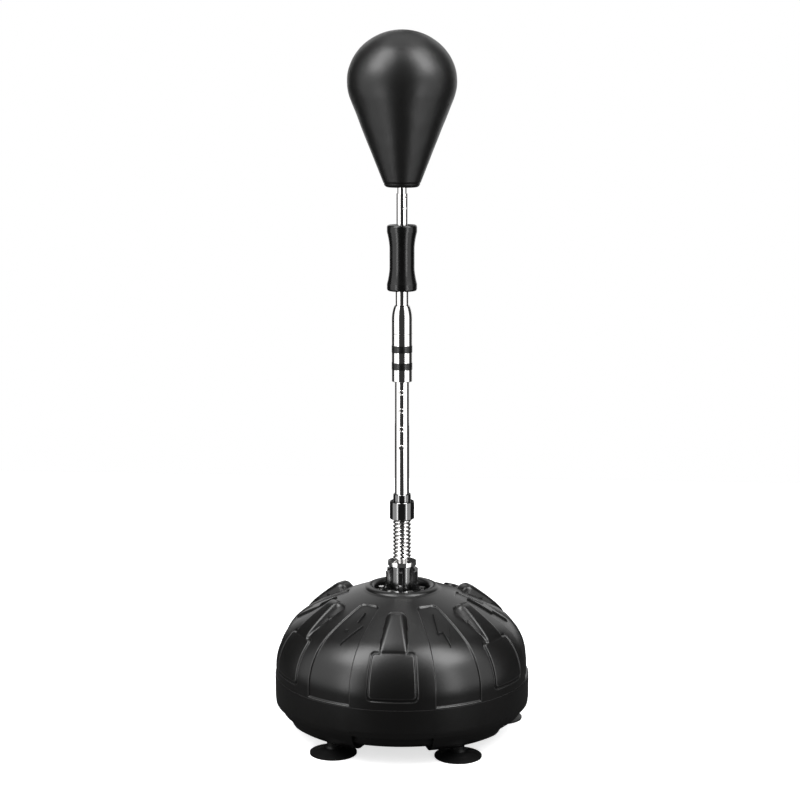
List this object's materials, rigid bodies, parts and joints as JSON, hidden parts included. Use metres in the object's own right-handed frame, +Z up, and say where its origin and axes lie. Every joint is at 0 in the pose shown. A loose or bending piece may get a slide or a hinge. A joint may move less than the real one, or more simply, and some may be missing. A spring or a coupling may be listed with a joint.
{
  "type": "reflex ball stand",
  "caption": "Free-standing reflex ball stand: round ballast tank on suction cups, coil spring, telescopic mast with twist lock and hand clutch, and a padded teardrop ball.",
  "frame": {"origin": "on the floor, under the mast's axis", "axes": "+Z up along the mast; -Y is the front, where the mast's holes face"},
  "size_m": [0.45, 0.45, 1.222],
  "materials": {
    "tank_plastic": "satin",
    "hub_gloss": "gloss",
    "bright_steel": "polished",
    "insert_brass": "satin",
    "chrome_plate": "polished",
    "plain_steel": "satin",
    "rubber_black": "matte",
    "cap_plastic": "satin",
    "collar_gloss": "gloss",
    "chrome_alloy": "polished",
    "band_black": "satin",
    "inner_plastic": "matte",
    "grip_black": "satin",
    "ball_leather": "satin",
    "ball_foam": "matte",
    "bladder_rubber": "satin"
  },
  "bodies": {
    "base": {"tank_upper": "tank_plastic", "tank_lower": "tank_plastic", "hub": "hub_gloss", "hub_bolts": "bright_steel", "hub_washers": "bright_steel", "hub_inserts": "insert_brass", "spring_seat_plate": "chrome_plate", "lower_spring_plug": "plain_steel", "anchor_bolt": "plain_steel", "suction_cup_1": "rubber_black", "suction_cup_2": "rubber_black", "suction_cup_3": "rubber_black", "suction_cup_4": "rubber_black", "suction_cup_5": "rubber_black", "cup_studs": "plain_steel"},
    "fill_cap": {"fill_cap": "cap_plastic", "fill_cap_gasket": "rubber_black"},
    "spring": {"reflex_spring": "chrome_plate"},
    "lower_mast": {"spring_collar": "collar_gloss", "upper_spring_plug": "plain_steel", "collar_pin": "bright_steel", "lower_tube": "chrome_plate", "lock_barrel": "chrome_alloy", "barrel_band_1": "band_black", "barrel_band_2": "band_black", "lock_collet": "inner_plastic"},
    "lock_nut": {"lock_nut": "chrome_alloy"},
    "middle_mast": {"middle_tube": "chrome_plate", "middle_tube_bush": "inner_plastic", "height_button_spring": "plain_steel", "clutch_core": "inner_plastic"},
    "height_button": {"height_button": "bright_steel"},
    "clutch": {"clutch_grip": "grip_black", "clutch_sleeve": "inner_plastic"},
    "top_mast": {"top_tube": "chrome_plate", "top_tube_bush": "inner_plastic"},
    "ball": {"ball_stem": "chrome_plate", "ball_socket": "inner_plastic", "ball_cover": "ball_leather", "ball_padding": "ball_foam", "ball_bladder": "bladder_rubber", "ball_valve": "rubber_black", "ball_button_spring": "plain_steel"},
    "ball_button": {"ball_button": "bright_steel"}
  },
  "joints": [
    {"name": "fill_cap_lift", "type": "slide", "parent": "base", "child": "fill_cap", "axis": [0.25, 0.433, 0.866], "range_m": [0, 0.05]},
    {"name": "spring_bend_x", "type": "hinge", "parent": "base", "child": "spring", "pos_m": [0, 0, 0.3412], "axis": [1, 0, 0], "range_deg": [-30, 30], "stiffness_Nm_per_rad": 76, "deforming": ["reflex_spring"]},
    {"name": "spring_bend_y", "type": "hinge", "parent": "spring", "child": "lower_mast", "pos_m": [0, 0, 0.3412], "axis": [0, 1, 0], "range_deg": [-30, 30], "stiffness_Nm_per_rad": 76},
    {"name": "lock_nut_turn", "type": "hinge", "parent": "lower_mast", "child": "lock_nut", "pos_m": [0, 0, 0.73], "axis": [0, 0, 1], "range_deg": [0, 180]},
    {"name": "height_slide", "type": "slide", "parent": "lower_mast", "child": "middle_mast", "axis": [0, 0, 1], "range_m": [0, 0.0972], "deforming": ["height_button"]},
    {"name": "height_button_press", "type": "slide", "parent": "middle_mast", "child": "height_button", "axis": [0, 1, 0], "range_m": [0, 0.0026], "stiffness_N_per_m": 1200, "springref_m": -0.002, "deforming": ["height_button_spring"]},
    {"name": "clutch_turn", "type": "hinge", "parent": "middle_mast", "child": "clutch", "pos_m": [0, 0, 0.837], "axis": [0, 0, 1], "range_deg": [0, 90]},
    {"name": "top_tube_slide", "type": "slide", "parent": "middle_mast", "child": "top_mast", "axis": [0, 0, 1], "range_m": [-0.024, 0.095]},
    {"name": "ball_slide", "type": "slide", "parent": "top_mast", "child": "ball", "axis": [0, 0, 1], "range_m": [0, 0.0188], "deforming": ["ball_button"]},
    {"name": "ball_button_press", "type": "slide", "parent": "ball", "child": "ball_button", "axis": [-0.515, 0.8572, 0], "range_m": [0, 0.003], "stiffness_N_per_m": 1200, "springref_m": -0.002, "deforming": ["ball_button_spring"]}
  ]
}
